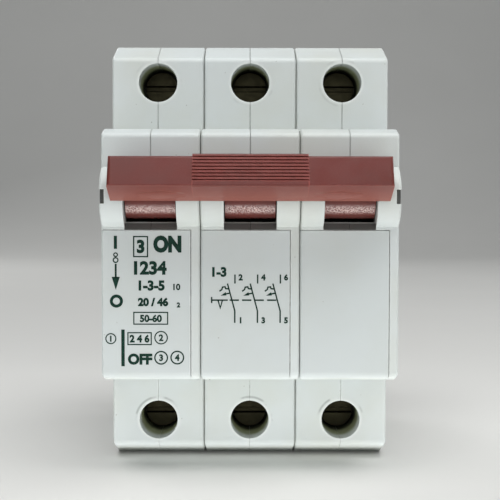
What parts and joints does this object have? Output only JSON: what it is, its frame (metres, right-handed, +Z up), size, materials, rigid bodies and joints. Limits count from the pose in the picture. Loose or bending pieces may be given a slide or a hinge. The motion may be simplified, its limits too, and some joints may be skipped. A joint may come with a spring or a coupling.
{
  "type": "three-pole miniature circuit breaker",
  "caption": "Rail-mounted miniature circuit breaker with ganged toggles under a ribbed tie bar and rising-cage screw terminals at both ends.",
  "frame": {"origin": "on the plane that rests on the rail, at the middle of the middle pole and at the height of the rail's centre line", "axes": "-Y is the front, +Y points into the rail, +Z is up towards the upper terminals, +X is to the right seen from the front"},
  "size_m": [0.0524, 0.0748, 0.08],
  "materials": {
    "housing_plastic": "pale grey moulded plastic with a fine satin texture",
    "front_plate_plastic": "pale grey moulded plastic, smoother than the housing, with dark green print",
    "toggle_plastic": "red-brown moulded plastic with a soft gloss",
    "plated_steel": "steel with a yellow passivated zinc coating",
    "contact_brass": "plain stamped strip",
    "dark_plastic": "dark grey moulded plastic",
    "rivet_steel": "plain zinc-coated steel"
  },
  "bodies": {
    "housing": {"left_shell_1": "housing_plastic", "right_shell_1": "housing_plastic", "front_plate_1": "front_plate_plastic", "rail_clip_1": "dark_plastic", "terminal_screw_top_1": "plated_steel", "clamp_cage_top_1": "plated_steel", "contact_tongue_top_1": "contact_brass", "terminal_screw_bottom_1": "plated_steel", "clamp_cage_bottom_1": "plated_steel", "contact_tongue_bottom_1": "contact_brass", "left_shell_2": "housing_plastic", "right_shell_2": "housing_plastic", "front_plate_2": "front_plate_plastic", "rail_clip_2": "dark_plastic", "terminal_screw_top_2": "plated_steel", "clamp_cage_top_2": "plated_steel", "contact_tongue_top_2": "contact_brass", "terminal_screw_bottom_2": "plated_steel", "clamp_cage_bottom_2": "plated_steel", "contact_tongue_bottom_2": "contact_brass", "left_shell_3": "housing_plastic", "right_shell_3": "housing_plastic", "front_plate_3": "front_plate_plastic", "rail_clip_3": "dark_plastic", "terminal_screw_top_3": "plated_steel", "clamp_cage_top_3": "plated_steel", "contact_tongue_top_3": "contact_brass", "terminal_screw_bottom_3": "plated_steel", "clamp_cage_bottom_3": "plated_steel", "contact_tongue_bottom_3": "contact_brass", "coupling_plug_left": "dark_plastic", "coupling_plug_right": "dark_plastic"},
    "handle": {"toggle_1": "toggle_plastic", "toggle_2": "toggle_plastic", "toggle_3": "toggle_plastic", "tie_bar": "toggle_plastic"}
  },
  "joints": [
    {"name": "handle_throw", "type": "hinge", "parent": "housing", "child": "handle", "pos_m": [0, -0.0576, 0.0103], "axis": [1, 0, 0], "range_deg": [0, 52]}
  ]
}
